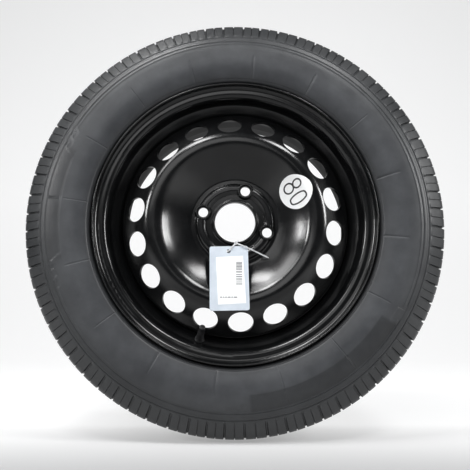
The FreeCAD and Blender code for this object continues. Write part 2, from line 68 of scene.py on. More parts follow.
def rounded(points, steps=8):
    """A polyline through (a, b, fillet radius) corners, with an arc at each fillet."""
    out = []
    for i, (a, b, f) in enumerate(points):
        p = np.array([a, b], float)
        if f == 0 or i in (0, len(points) - 1):
            out.append(p)
            continue
        u = np.array(points[i - 1][:2], float) - p
        v = np.array(points[i + 1][:2], float) - p
        u, v = u / np.linalg.norm(u), v / np.linalg.norm(v)
        half = 0.5 * math.acos(max(-1.0, min(1.0, float(u @ v))))
        cut = f / math.tan(half)
        mid = p + (u + v) / np.linalg.norm(u + v) * f / math.sin(half)
        s, e = p + u * cut - mid, p + v * cut - mid
        a0, a1 = math.atan2(s[1], s[0]), math.atan2(e[1], e[0])
        turn = (a1 - a0 + math.pi) % TAU - math.pi
        for k in range(steps + 1):
            w = a0 + turn * k / steps
            out.append(mid + f * np.array([math.cos(w), math.sin(w)]))
    return np.array(out)


def smoothstep(lo, hi, x):
    t = np.clip((np.asarray(x, float) - lo) / (hi - lo), 0.0, 1.0)
    return t * t * (3.0 - 2.0 * t)


class Rings:
    """Collects rings of points about the wheel's axis and joins them into one skin."""

    def __init__(self):
        self.verts, self.faces, self.count = [], [], 0

    def ring(self, angles, radius, depth):
        """Adds a ring; angle runs clockwise from the top seen from the front."""
        a = np.asarray(angles, float)
        r = np.broadcast_to(np.asarray(radius, float), a.shape)
        d = np.broadcast_to(np.asarray(depth, float), a.shape)
        self.verts.append(np.stack([r * np.sin(a), -d, r * np.cos(a)], 1))
        start = self.count
        self.count += len(a)
        return (a, np.arange(start, start + len(a)))

    def same(self, p, q):
        """Quads between two rings that have the same angles."""
        i, j = p[1], q[1]
        self.faces += np.stack([i, np.roll(i, -1), np.roll(j, -1), j], 1).tolist()

    def zip(self, p, q):
        """Triangles between two rings that have different angles."""
        (a, i), (b, j) = p, q
        a0 = a[0]
        ka = np.concatenate([(a - a0), [TAU]])
        kb = (b - a0 + 1e-12) % TAU
        first = int(np.argmin(kb))
        order = np.roll(np.arange(len(b)), -first)
        kb = np.concatenate([kb[order], [kb[order][0] + TAU]])
        ii, jj = np.concatenate([i, i[:1]]), np.concatenate([j[order], [j[order][0]]])
        m = n = 0
        while m < len(ka) - 1 or n < len(kb) - 1:
            step_a = n >= len(kb) - 1 or (m < len(ka) - 1 and ka[m + 1] <= kb[n + 1])
            if step_a:
                self.faces.append([int(ii[m]), int(ii[m + 1]), int(jj[n])])
                m += 1
            else:
                self.faces.append([int(ii[m]), int(jj[n + 1]), int(jj[n])])
                n += 1

    def points(self):
        return np.concatenate(self.verts)


# ---------------------------------------------------------------- materials
def material(name):
    mat = bpy.data.materials.new(name)
    mat.use_nodes = True
    tree = mat.node_tree
    tree.nodes.clear()
    out = tree.nodes.new("ShaderNodeOutputMaterial")
    bsdf = tree.nodes.new("ShaderNodeBsdfPrincipled")
    tree.links.new(bsdf.outputs["BSDF"], out.inputs["Surface"])
    return mat, tree, bsdf


def node(tree, kind, links=None, **values):
    """A node with values on its inputs or attributes and links into its inputs."""
    n = tree.nodes.new(kind)
    for key, value in values.items():
        if hasattr(n, key):
            setattr(n, key, value)
        else:
            n.inputs[key.replace("_", " ")].default_value = value
    for key, source in (links or {}).items():
        tree.links.new(source, n.inputs[key])
    return n


def place(tree):
    return tree.nodes.new("ShaderNodeTexCoord").outputs["Object"]


def noise(tree, coords, scale, detail=3.0, rough=0.5):
    n = node(tree, "ShaderNodeTexNoise", {"Vector": coords})
    n.inputs["Scale"].default_value = scale
    n.inputs["Detail"].default_value = detail
    n.inputs["Roughness"].default_value = rough
    return n.outputs["Fac"]


def spread(tree, value, from_lo, from_hi, to_lo, to_hi):
    n = tree.nodes.new("ShaderNodeMapRange")
    tree.links.new(value, n.inputs["Value"])
    for key, v in (("From Min", from_lo), ("From Max", from_hi), ("To Min", to_lo), ("To Max", to_hi)):
        n.inputs[key].default_value = v
    return n.outputs["Result"]


def maths(tree, op, a, b=None):
    n = tree.nodes.new("ShaderNodeMath")
    n.operation = op
    for k, v in enumerate((a, b)):
        if v is None:
            continue
        if isinstance(v, (int, float)):
            n.inputs[k].default_value = v
        else:
            tree.links.new(v, n.inputs[k])
    return n.outputs["Value"]


def ramp(tree, value, stops):
    n = tree.nodes.new("ShaderNodeValToRGB")
    tree.links.new(value, n.inputs["Fac"])
    elements = n.color_ramp.elements
    while len(elements) < len(stops):
        elements.new(0.5)
    for e, (pos, col) in zip(elements, stops):
        e.position = pos
        e.color = (*col, 1.0)
    return n.outputs["Color"]


def bump(tree, height, strength, distance, normal=None):
    n = tree.nodes.new("ShaderNodeBump")
    n.inputs["Strength"].default_value = strength
    n.inputs["Distance"].default_value = distance
    tree.links.new(height, n.inputs["Height"])
    if normal is not None:
        tree.links.new(normal, n.inputs["Normal"])
    return n.outputs["Normal"]


def multiply(tree, a, b):
    """The product of two colours, or of a colour and a grey value."""
    mix = tree.nodes.new("ShaderNodeMix")
    mix.data_type = "RGBA"
    mix.blend_type = "MULTIPLY"
    mix.inputs["Factor"].default_value = 1.0
    tree.links.new(a, mix.inputs[6])
    tree.links.new(b, mix.inputs[7])
    return mix.outputs[2]


def make_paint():
    """Gloss black enamel with a fine orange peel and a trace of dust; the coat is duller inside the barrel."""
    mat, t, b = material("black_paint")
    p = place(t)
    dust = noise(t, p, 26.0, 6.0, 0.6)
    depth = node(t, "ShaderNodeSeparateXYZ", {"Vector": p}).outputs["Y"]
    b.inputs["Specular IOR Level"].default_value = 0.5
    t.links.new(ramp(t, dust, [(0.35, (0.0030, 0.0031, 0.0034)), (0.75, (0.0062, 0.0065, 0.0069))]), b.inputs["Base Color"])
    gloss = spread(t, dust, 0.3, 0.75, 0.16, 0.23)
    t.links.new(maths(t, "ADD", gloss, spread(t, depth, -0.044, -0.030, 0.0, 0.62)), b.inputs["Roughness"])
    peel = bump(t, noise(t, p, 330.0, 2.0, 0.45), 0.04, 0.0004)
    t.links.new(bump(t, noise(t, p, 45.0, 2.0, 0.5), 0.05, 0.0012, peel), b.inputs["Normal"])
    return mat


def make_rubber():
    """Tyre rubber: dusty grey, darker on the ribbed panels, with painted shade at the bead and towards the shoulder.
    """
    mat, t, b = material("tyre_rubber")
    p = place(t)
    xyz = node(t, "ShaderNodeSeparateXYZ", {"Vector": p})
    flat = node(t, "ShaderNodeCombineXYZ", {"X": xyz.outputs["X"], "Z": xyz.outputs["Z"]})
    length = t.nodes.new("ShaderNodeVectorMath")
    length.operation = "LENGTH"
    t.links.new(flat.outputs["Vector"], length.inputs[0])
    radius = length.outputs["Value"]
    along = spread(t, radius, 0.205, 0.312, 0.0, 1.0)
    # Painted shade: darker at the bead, in the gap under the rim flange, and towards the shoulder and tread; the
    # lighter middle of the sidewall is the rubber's own tone.
    tone_and_painted_shade = ramp(t, along, [
        (0.00, (0.014, 0.0146, 0.0155)), (0.07, (0.036, 0.0378, 0.041)), (0.14, (0.055, 0.058, 0.063)), (0.30, (0.066, 0.0695, 0.075)),
        (0.50, (0.059, 0.062, 0.066)), (0.62, (0.041, 0.0432, 0.046)), (0.80, (0.032, 0.0338, 0.0355)), (1.00, (0.027, 0.0282, 0.030)),
    ])
    cloud = noise(t, p, 17.0, 6.0, 0.62)
    streak = noise(t, p, 60.0, 5.0, 0.6)
    colour = multiply(t, tone_and_painted_shade, ramp(t, cloud, [(0.28, (0.66, 0.66, 0.67)), (0.72, (1.08, 1.08, 1.08))]))
    colour = multiply(t, colour, ramp(t, streak, [(0.3, (0.82, 0.82, 0.83)), (0.7, (1.04, 1.04, 1.04))]))
    angle = maths(t, "ARCTAN2", xyz.outputs["X"], xyz.outputs["Z"])
    front = spread(t, xyz.outputs["Y"], -0.060, -0.055, 1.0, 0.0)
    for lo, hi, r0, r1, taper_lo, taper_hi, shade in PANELS:
        centre, half = math.radians((lo + hi) / 2), math.radians((hi - lo) / 2)
        centre = (centre + math.pi) % TAU - math.pi
        away = maths(t, "ABSOLUTE", maths(t, "SUBTRACT", angle, centre))
        inside = spread(t, away, half - 0.020, half - 0.004, 1.0, 0.0)
        inside = maths(t, "MULTIPLY", inside, spread(t, radius, (r0 - 0.8) * MM, (r0 + 0.8) * MM, 0.0, 1.0))
        inside = maths(t, "MULTIPLY", inside, spread(t, radius, (r1 - 0.8) * MM, (r1 + 0.8) * MM, 1.0, 0.0))
        inside = maths(t, "MULTIPLY", inside, front)
        colour = multiply(t, colour, ramp(t, inside, [(0.0, (1.0, 1.0, 1.0)), (1.0, (shade, shade, shade))]))
    t.links.new(colour, b.inputs["Base Color"])
    t.links.new(spread(t, cloud, 0.25, 0.75, 0.36, 0.48), b.inputs["Roughness"])
    b.inputs["Specular IOR Level"].default_value = 0.45
    fine = bump(t, noise(t, p, 1900.0, 3.0, 0.6), 0.16, 0.0003)
    t.links.new(bump(t, noise(t, p, 95.0, 4.0, 0.55), 0.12, 0.001, fine), b.inputs["Normal"])
    return mat


# ribbed panels of the front sidewall: from and to in degrees clockwise from the top, inner and outer
# radius in millimetres, by how many degrees each end draws in at the inner edge, and their shade
PANELS = [(123.4, 176.0, 244.3, 267.3, 3.4, 3.0, 0.60), (255.8, 294.0, 250.0, 271.0, 2.6, 3.2, 0.74)]
# small patches beside the panels: from, to, inner radius, outer radius, lean in degrees
PATCHES = [(117.0, 122.2, 258.0, 271.5, 1.8), (176.9, 179.4, 257.8, 267.3, -1.2), (180.4, 183.0, 261.2, 267.0, -1.0),
           (247.3, 249.8, 262.5, 270.5, 1.0), (250.7, 254.8, 261.5, 270.5, 1.0), (295.3, 297.6, 260.5, 271.0, -1.6), (298.9, 301.0, 261.5, 271.5, -1.6)]


def make_plain(name, dark, light, rough, spec=0.5, grain=900.0, depth=0.10, blotch=60.0, metal=0.0):
    """A solid colour with blotches, fine grain and uneven gloss."""
    mat, t, b = material(name)
    p = place(t)
    cloud = noise(t, p, blotch, 5.0, 0.6)
    t.links.new(ramp(t, cloud, [(0.3, dark), (0.7, light)]), b.inputs["Base Color"])
    t.links.new(spread(t, cloud, 0.3, 0.7, rough[0], rough[1]), b.inputs["Roughness"])
    b.inputs["Specular IOR Level"].default_value = spec
    b.inputs["Metallic"].default_value = metal
    t.links.new(bump(t, noise(t, p, grain, 3.0, 0.55), depth, 0.0003), b.inputs["Normal"])
    return mat


paint = make_paint()
rubber = make_rubber()
black_rubber = make_plain("black_rubber", (0.011, 0.011, 0.012), (0.020, 0.020, 0.021), (0.42, 0.55), 0.45, 1400.0, 0.14, 120.0)
black_plastic = make_plain("black_plastic", (0.010, 0.010, 0.011), (0.017, 0.017, 0.018), (0.34, 0.44), 0.5, 1600.0, 0.10, 150.0)
brass = make_plain("brass", (0.62, 0.44, 0.17), (0.76, 0.57, 0.26), (0.22, 0.34), 0.5, 1500.0, 0.06, 240.0, 1.0)
red_seal = make_plain("red_seal", (0.36, 0.035, 0.03), (0.46, 0.05, 0.04), (0.4, 0.5), 0.5, 1500.0, 0.08, 200.0)
spring_steel = make_plain("spring_steel", (0.52, 0.52, 0.54), (0.64, 0.64, 0.66), (0.2, 0.3), 0.5, 2200.0, 0.05, 300.0, 1.0)
white_film = make_plain("white_film", (0.92, 0.925, 0.93), (0.97, 0.972, 0.975), (0.30, 0.42), 0.45, 800.0, 0.04, 55.0)
ink = make_plain("black_ink", (0.020, 0.020, 0.022), (0.034, 0.034, 0.036), (0.40, 0.52), 0.4, 1200.0, 0.05, 400.0)
faded = make_plain("faded_ink", (0.20, 0.20, 0.21), (0.27, 0.27, 0.28), (0.50, 0.62), 0.3, 1200.0, 0.05, 400.0)
grey_card = make_plain("grey_card", (0.50, 0.555, 0.62), (0.60, 0.655, 0.72), (0.32, 0.45), 0.45, 700.0, 0.05, 38.0)
white_paper = make_plain("white_paper", (0.82, 0.83, 0.84), (0.90, 0.905, 0.91), (0.55, 0.7), 0.4, 1500.0, 0.10, 70.0)
white_nylon = make_plain("white_nylon", (0.54, 0.55, 0.565), (0.64, 0.65, 0.66), (0.30, 0.42), 0.5, 900.0, 0.06, 120.0)

finish = {
    "rim": paint, "wheel_disc": paint, "disc_welds": paint, "tyre": rubber,
    "valve_body": black_rubber, "cap_seal": black_rubber, "valve_cap": black_plastic,
    "valve_stem": brass, "core_plug": brass, "core_pin": brass, "core_cup": brass,
    "core_seal": red_seal, "core_spring": spring_steel,
    "speed_sticker": white_film, "tag_card": grey_card, "tag_label": white_paper, "tag_tie": white_nylon,
}
for name, mat in finish.items():
    obj = nodes[name]
    obj.data.materials.clear()
    obj.data.materials.append(mat)


# ---------------------------------------------------------------- tyre
# Everything is in millimetres: r from the axis, d from the middle plane towards the front.
SIDE = rounded([(306.7, 70, 0), (303.5, 74.5, 6), (270, 95.8, 70), (226, 95.8, 60), (208.6, 84.5, 4), (208.6, 78, 0)], 14)
_keep = SIDE[:, 0] > 208.7
_r, _d = SIDE[_keep, 0][::-1], SIDE[_keep, 1][::-1]


def side_at(r):
    """Depth and outward normal of the sidewall at radius r."""
    d = float(np.interp(r, _r, _d))
    slope = float(np.interp(r + 0.4, _r, _d) - np.interp(r - 0.4, _r, _d)) / 0.8
    n = np.array([-slope, 1.0])
    return d, n / np.linalg.norm(n)


def ridge(x, centre, half, height):
    return height * np.clip(1.0 - np.abs(x - centre) / half, 0.0, 1.0)


SEAMS = [math.radians(6.6 + 22.5 * k) for k in range(16)]


def patch_mask(r, a):
    """Where the sunk panels and patches are at radius r, 0 to 1 for each angle."""
    m = np.zeros_like(a)
    deg = np.degrees(a)
    for lo, hi, r0, r1, taper_lo, taper_hi, _ in PANELS:
        f = (r1 - r) / (r1 - r0)
        m = np.maximum(m, smoothstep(lo + taper_lo * f, lo + taper_lo * f + 0.5, deg) * (1 - smoothstep(hi - taper_hi * f - 0.5, hi - taper_hi * f, deg))
                       * smoothstep(r0 - 0.6, r0 + 0.6, r) * (1 - smoothstep(r1 - 0.6, r1 + 0.6, r)))
    for lo, hi, r0, r1, slant in PATCHES:
        f = (r1 - r) / (r1 - r0)
        m = np.maximum(m, smoothstep(lo + slant * f, lo + slant * f + 0.4, deg) * (1 - smoothstep(hi + slant * f - 0.4, hi + slant * f, deg))
                       * smoothstep(r0 - 0.6, r0 + 0.6, r) * (1 - smoothstep(r1 - 0.6, r1 + 0.6, r)))
    return m


def seam_mask(a):
    m = np.zeros_like(a)
    for s in SEAMS:
        off = np.abs((a - s + math.pi) % TAU - math.pi)
        m = np.maximum(m, np.clip(1.25 - off / math.radians(0.22), 0, 1))
    return m


def front_angles():
    """Angles of the front sidewall: even, finer over the ribbed panels and at the mould lines."""
    out = []
    a = 0.0
    while a < 360.0 - 1e-6:
        inside = 116.5 < a < 184.0 or 246.5 < a < 301.8
        out.append(a)
        a += 0.36 if inside else 0.84
    for s in SEAMS:
        c = math.degrees(s)
        out = [x for x in out if abs(x - c) > 0.34]
        out += [c - 0.28, c - 0.06, c + 0.06, c + 0.28]
    return np.radians(np.array(sorted(x % 360.0 for x in out)))


def front_relief(r, a, serial):
    """Height of the raised and sunk detail of the front sidewall."""
    h = np.zeros_like(a)
    h += -ridge(r, 278.6, 1.3, 0.85) + ridge(r, 276.4, 0.9, 0.35) - ridge(r, 269.4, 1.2, 0.75) + ridge(r, 265.4, 1.0, 0.40)
    h += -ridge(r, 213.0, 0.9, 0.45)
    mask = patch_mask(r, a)
    h = h * (1 - mask) + mask * (-0.70 + 0.40 * (serial % 2))
    reach = smoothstep(212.8, 215, r) * (1 - smoothstep(245.5, 248, r))
    h -= 0.60 * seam_mask(a) * reach * (1 - mask)
    return h


BLOCKS = 68


def build_tyre():
    skin = Rings()
    # tread: blocks of four lengths round the tyre, a groove with slanted walls between them and a sipe in each
    lengths = np.array([(0.90, 1.0, 1.12, 0.98)[(i * 7 + i // 5) % 4] for i in range(BLOCKS)])
    starts = np.concatenate([[0.0], np.cumsum(lengths)])
    starts = starts / starts[-1] * TAU
    parts = [(0.0, 0.0, 0), (0.034, 0.93, 0), (0.090, 0.93, 0), (0.124, 0.0, 0), (0.30, 0, 0), (0.534, 0, 0), (0.546, 0, 1), (0.578, 0, 1),
             (0.590, 0, 0), (0.80, 0, 0)]
    angles, groove, sipe = [], [], []
    for i in range(BLOCKS):
        for f, g, s in parts:
            angles.append(starts[i] + f * (starts[i + 1] - starts[i]))
            groove.append(g)
            sipe.append(s)
    angles, groove, sipe = np.array(angles), np.array(groove, float), np.array(sipe, float)
    half = [  # d, r, depth of the cross grooves, depth of the sipes
        (4.4, 310.5, 0, 0), (5.2, 310.5, 0, 3.2), (11.0, 310.5, 0, 3.6), (11.9, 302.7, 0, 0), (18.1, 302.7, 0, 0),
        (19.0, 310.2, 0, 4.0), (21.0, 310.15, 0, 4.0), (27.0, 309.9, 0, 4.0), (27.8, 309.85, 4.4, 4.0), (37.2, 309.45, 4.4, 4.0),
        (38.0, 309.4, 4.4, 0), (40.0, 309.3, 4.4, 0), (40.8, 302.4, 0, 0), (46.2, 302.2, 0, 0), (47.0, 308.9, 0, 0),
        (51.0, 308.55, 0, 0), (51.8, 308.5, 5.0, 3.0), (67.2, 307.0, 4.2, 2.2), (70.0, 306.7, 3.9, 1.8),
    ]
    rows = [(d, r, 1.0, 0.0, g, s) for d, r, g, s in half]
    for r, g, s in ((304.3, 3.7, 1.6), (302.6, 3.5, 1.5), (299.0, 3.1, 1.4), (295.0, 2.7, 1.3), (291.0, 2.3, 1.2), (287.0, 1.9, 1.0), (283.6, 1.4, 0.7),
                    (281.6, 0.8, 0.3), (280.3, 0.0, 0.0)):
        d, n = side_at(r)
        rows.append((d, r, n[0], n[1], g, s))
    full = [(-d, r, nr, -nd, g, s) for d, r, nr, nd, g, s in rows[::-1]] + [(0.0, 310.5, 1.0, 0.0, 0, 0)] + rows
    pitch = TAU / BLOCKS

    def lean(d):
        return 0.42 * pitch * math.sin(max(-1.0, min(1.0, d / 70.0)) * math.pi / 2)

    tread = []
    for d, r, nr, nd, g, s in full:
        depth = g * groove + s * sipe
        tread.append(skin.ring((angles + lean(d)), r - depth * nr, d - depth * nd))
    for p, q in zip(tread[:-1], tread[1:]):
        skin.same(p, q)

    # front sidewall
    fine = front_angles()
    serial = np.arange(len(fine))
    radii = [280.0, 279.8, 278.6, 277.4, 276.4, 275.4, 273.4, 271.7, 270.6, 269.4, 268.2, 267.2, 266.4, 265.4, 264.3, 262.2, 261.1, 259.0,
             258.2, 257.1, 254.0, 250.8, 249.3, 247.6, 245.2, 243.5, 241.0, 237.0, 233.0, 229.0, 225.0, 221.0, 217.5, 215.2, 214.0, 213.0, 212.0, 211.2]
    front = []
    for r in radii:
        d, n = side_at(r)
        h = front_relief(r, fine, serial)
        front.append(skin.ring(fine, r + h * n[0], d + h * n[1]))
    skin.zip(tread[-1], front[0])
    for p, q in zip(front[:-1], front[1:]):
        skin.same(p, q)

    # back sidewall, plainer
    coarse = np.linspace(0, TAU, 320, endpoint=False)
    back = []
    for r in (280.0, 279.8, 278.6, 277.4, 276.4, 275.4, 270.6, 269.4, 268.2, 266.4, 265.4, 264.3, 257.0, 250.0, 243.0, 236.0, 229.0, 222.0, 217.0, 214.0, 213.0, 212.0, 211.2):
        d, n = side_at(r)
        h = float(ridge(r, 276.4, 0.9, 0.35) - ridge(r, 278.6, 1.3, 0.85) - ridge(r, 269.4, 1.2, 0.75) + ridge(r, 265.4, 1.0, 0.4) - ridge(r, 213.0, 0.9, 0.45))
        back.append(skin.ring(coarse, r + h * n[0], -(d + h * n[1])))
    skin.zip(back[0], tread[0])
    for p, q in zip(back[:-1], back[1:]):
        skin.same(q, p)

    # beads and liner
    inner = rounded([(226, 95.8, 0), (208.6, 84.5, 4), (208.6, 76.05, 6), (190.25, 76.05, 5.5), (188.75, 59, 0), (200, 62, 0), (215, 79, 12),
                     (232, 87, 12), (262, 87.5, 12), (285, 80, 12), (295, 66, 12), (295, 0, 0)], 4)[1:]
    loop = np.concatenate([inner, (inner * [1, -1])[::-1][1:]])
    few = np.linspace(0, TAU, 140, endpoint=False)
    bead = [skin.ring(few, r, d) for r, d in loop]
    skin.zip(front[-1], bead[0])
    for p, q in zip(bead[:-1], bead[1:]):
        skin.same(p, q)
    skin.zip(bead[-1], back[-1])
    return add_object("tyre_moulded", skin.points(), skin.faces, rubber, 40.0)


tyre = build_tyre()
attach(tyre, "wheel")
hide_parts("tyre")


# ---------------------------------------------------------------- valve
AXIS = np.array([0.193729, -0.74208, 0.641662])
BASE = np.array([-51.6615, -49.9586, -171.111])
UP = np.cross(AXIS, [1.0, 0.0, 0.0])
UP /= np.linalg.norm(UP)
ASIDE = np.cross(UP, AXIS)


def valve_point(rho, w, a):
    return BASE + AXIS * w + rho * (math.cos(a) * ASIDE + math.sin(a) * UP)


def build_cap():
    """Ribbed screw cap with a plain collar, a chamfered crown and an open bore."""
    count, ribs = 120, 20
    rows = [(4.05, 26.2, 0), (4.05, 17.2, 0), (4.25, 16.8, 0), (4.55, 16.8, 0), (4.75, 17.05, 0), (4.75, 17.9, 0), (4.62, 18.05, 0), (4.75, 18.5, 1),
            (4.75, 21.0, 1), (4.75, 24.6, 1), (4.66, 25.6, 1), (4.42, 26.2, 0), (4.40, 26.9, 0), (4.20, 27.5, 0), (3.75, 27.95, 0), (2.9, 28.2, 0), (1.5, 28.3, 0)]
    verts, faces = [], []
    for rho, w, rib in rows:
        for k in range(count):
            a = TAU * k / count
            cut = 0.34 * smoothstep(0.15, 0.6, 0.5 - 0.5 * math.cos(ribs * a)) if rib else 0.0
            verts.append(valve_point(rho - float(cut), w, a))
    for i in range(len(rows) - 1):
        for k in range(count):
            n = (k + 1) % count
            faces.append([i * count + k, i * count + n, (i + 1) * count + n, (i + 1) * count + k])
    verts.append(valve_point(0, 28.3, 0))
    top = len(verts) - 1
    verts.append(valve_point(0, 26.2, 0))
    low = len(verts) - 1
    last = (len(rows) - 1) * count
    for k in range(count):
        n = (k + 1) % count
        faces.append([last + k, last + n, top])
        faces.append([n, k, low])
    return add_object("valve_cap_ribbed", verts, faces, black_plastic, 30.0)


cap = build_cap()
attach(cap, "valve_cap")
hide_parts("valve_cap")


def build_thread():
    """The thread of the stem as a low helical ridge."""
    steps, lead = 30, 0.794
    total = int(10.2 * steps)
    verts, faces = [], []
    for k in range(total + 1):
        a, w = TAU * k / steps, 16.95 + lead * k / steps
        fade = min(1.0, k / 12.0, (total - k) / 12.0)
        for rho, dw in ((3.80, -0.33), (3.80 + 0.19 * fade, -0.05), (3.80 + 0.19 * fade, 0.05), (3.80, 0.33), (3.6, 0.0)):
            verts.append(valve_point(rho, w + dw, a))
    for k in range(total):
        for j in range(5):
            m = (j + 1) % 5
            faces.append([k * 5 + j, k * 5 + m, (k + 1) * 5 + m, (k + 1) * 5 + j])
    faces.append([0, 1, 2, 3, 4][::-1])
    faces.append([total * 5 + j for j in range(5)])
    return add_object("stem_thread", verts, faces, brass, 30.0)


thread = build_thread()
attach(thread, "wheel")


def build_spring():
    """The core's spring as a piece of its own; the real spring shortens when the pin is pressed."""
    source = nodes["core_spring"]
    verts = [(source.matrix_world @ v.co) * 1000.0 for v in source.data.vertices]
    return add_object("core_spring_coil", verts, [list(p.vertices) for p in source.data.polygons], spring_steel, 40.0)


spring = build_spring()
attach(spring, "wheel")
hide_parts("core_spring")
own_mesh(spring)


# ---------------------------------------------------------------- sticker numerals and label print
def skin_of(name):
    mesh = nodes[name].data
    return BVHTree.FromPolygons([v.co for v in mesh.vertices], [list(p.vertices) for p in mesh.polygons])


def front_of(tree, x, z):
    """The point of a skin that lies straight in front of (x, z), in millimetres."""
    hit, normal, *_ = tree.ray_cast(Vector((x * MM, -0.4, z * MM)), Vector((0, 1, 0)))
    return np.array(hit) / MM, np.array(normal)


def closed_stroke(tree, line, half, lift, flat, verts, faces):
    """A raised closed line of width 2*half that follows a skin; flat maps the drawing onto (x, z)."""
    n = len(line)
    start = len(verts)
    across = (-half, -half / 3, half / 3, half)
    for k in range(n):
        t = line[(k + 1) % n] - line[k - 1]
        t /= np.linalg.norm(t)
        side = np.array([t[1], -t[0]])
        for off in across:
            q = flat(line[k] + side * off)
            p, nor = front_of(tree, q[0], q[1])
            if nor[1] > 0:
                nor = -nor
            verts.append(p + nor * lift)
            verts.append(p + nor * 0.01)
    m = len(across)
    for k in range(n):
        a, b = start + 2 * m * k, start + 2 * m * ((k + 1) % n)
        for j in range(m - 1):
            faces.append([a + 2 * j, a + 2 * j + 2, b + 2 * j + 2, b + 2 * j])
            faces.append([a + 2 * j + 1, b + 2 * j + 1, b + 2 * j + 3, a + 2 * j + 3])
        faces.append([a, b, b + 1, a + 1])
        e = 2 * m - 2
        faces.append([a + e, a + e + 1, b + e + 1, b + e])


film = skin_of("speed_sticker")
up2 = np.array([math.cos(math.radians(28)), math.sin(math.radians(28))])
right2 = np.array([up2[1], -up2[0]])
MIDDLE = np.array([89.3, 43.6])


def on_film(q):
    """The sticker leans back to the left, so its drawing is narrower from the front."""
    return MIDDLE + q * [0.91, 1.0]


def oval(centre, straight, radius, steps=64):
    out = []
    for k in range(steps):
        a = TAU * k / steps
        c, s = math.cos(a), math.sin(a)
        shift = straight * max(-1.0, min(1.0, s * 1.25))
        out.append(np.array(centre) + right2 * radius * c + up2 * (radius * s + shift))
    return np.array(out)


verts, faces = [], []
closed_stroke(film, oval((1.6, 11.4), 0.0, 6.1), 1.15, 0.13, on_film, verts, faces)
closed_stroke(film, oval((-10.4, 5.2), 0.0, 7.2), 1.15, 0.13, on_film, verts, faces)
closed_stroke(film, oval((4.5, -9.4), 5.9, 6.7, 96), 1.15, 0.13, on_film, verts, faces)
numerals = add_object("sticker_numerals", verts, faces, ink, 40.0)
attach(numerals, "wheel")

paper = skin_of("tag_label")


def bars(tree, boxes, lift=0.05):
    """Thin printed bars (x0, z0, x1, z1) that lie on a flat skin."""
    verts, faces = [], []
    for x0, z0, x1, z1 in boxes:
        start = len(verts)
        for x, z in ((x0, z0), (x1, z0), (x1, z1), (x0, z1)):
            p, nor = front_of(tree, x, z)
            if nor[1] > 0:
                nor = -nor
            verts += [p + nor * lift, p + nor * 0.005]
        a = start
        faces += [[a, a + 2, a + 4, a + 6], [a + 1, a + 7, a + 5, a + 3]]
        for k in range(4):
            m = (k + 1) % 4
            faces.append([a + 2 * k, a + 2 * k + 1, a + 2 * m + 1, a + 2 * m])
    return verts, faces


BAR_BOXES = []
z = -60.6
for gap, thick in ((0.0, 1.3), (0.6, 1.8), (0.6, 1.0), (0.5, 1.7), (0.7, 1.2), (0.6, 1.6), (1.7, 1.3), (0.8, 0.8), (1.9, 1.2), (1.6, 1.6), (1.5, 0.9), (0.9, 1.3), (1.8, 1.1), (1.6, 1.5)):
    z -= gap
    BAR_BOXES.append((1.6, z - thick, 10.4, z))
    z -= thick
for x0, x1 in ((-21.0, -18.4), (-17.0, -15.2), (-13.8, -11.6), (-10.2, -6.4), (-5.0, -3.0), (-1.6, 3.2)):
    BAR_BOXES.append((x0, -112.8, x1, -111.0))
verts, faces = bars(paper, BAR_BOXES)
label_print = add_object("label_print", verts, faces, faded, 30.0)
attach(label_print, "wheel")


# ---------------------------------------------------------------- tag tie
def curve_through(points, step=0.6):
    """A smooth line through points, sampled at an even step."""
    p = np.asarray(points, float)
    q = np.concatenate([[2 * p[0] - p[1]], p, [2 * p[-1] - p[-2]]])
    out = []
    for i in range(1, len(q) - 2):
        n = max(2, int(np.linalg.norm(q[i + 1] - q[i]) / 0.15))
        for k in range(n):
            t = k / n
            out.append(0.5 * ((2 * q[i]) + (q[i + 1] - q[i - 1]) * t + (2 * q[i - 1] - 5 * q[i] + 4 * q[i + 1] - q[i + 2]) * t * t
                              + (3 * q[i] - q[i - 1] - 3 * q[i + 1] + q[i + 2]) * t ** 3))
    out.append(q[-2])
    out = np.array(out)
    run = np.concatenate([[0], np.cumsum(np.linalg.norm(np.diff(out, axis=0), axis=1))])
    at = np.linspace(0, run[-1], max(3, int(run[-1] / step)))
    return np.stack([np.interp(at, run, out[:, k]) for k in range(3)], 1)


def strap(line, across, width, thick, verts, faces, teeth=False, tip=False):
    """A strap of rounded rectangular section along a line; teeth run across its underside."""
    n = len(line)
    start = len(verts)
    across = np.asarray(across, float)
    for k in range(n):
        t = line[min(k + 1, n - 1)] - line[max(k - 1, 0)]
        t /= np.linalg.norm(t)
        b = across - t * (across @ t)
        b /= np.linalg.norm(b)
        c = np.cross(t, b)
        w = width / 2
        if tip:
            w *= min(1.0, 0.35 + 0.65 * (n - 1 - k) / 6.0)
        h = thick / 2
        low = h - (0.16 if teeth and k % 2 else 0.0)
        f = 0.22
        for x, y in ((-w + f, h), (w - f, h), (w, h - f), (w, -low + f), (w - f, -low), (-w + f, -low), (-w, -low + f), (-w, h - f)):
            verts.append(line[k] + b * x + c * y)
    for k in range(n - 1):
        for j in range(8):
            m = (j + 1) % 8
            a = start + 8 * k
            faces.append([a + j, a + m, a + 8 + m, a + 8 + j])
    faces.append([start + j for j in range(8)][::-1])
    faces.append([start + 8 * (n - 1) + j for j in range(8)])


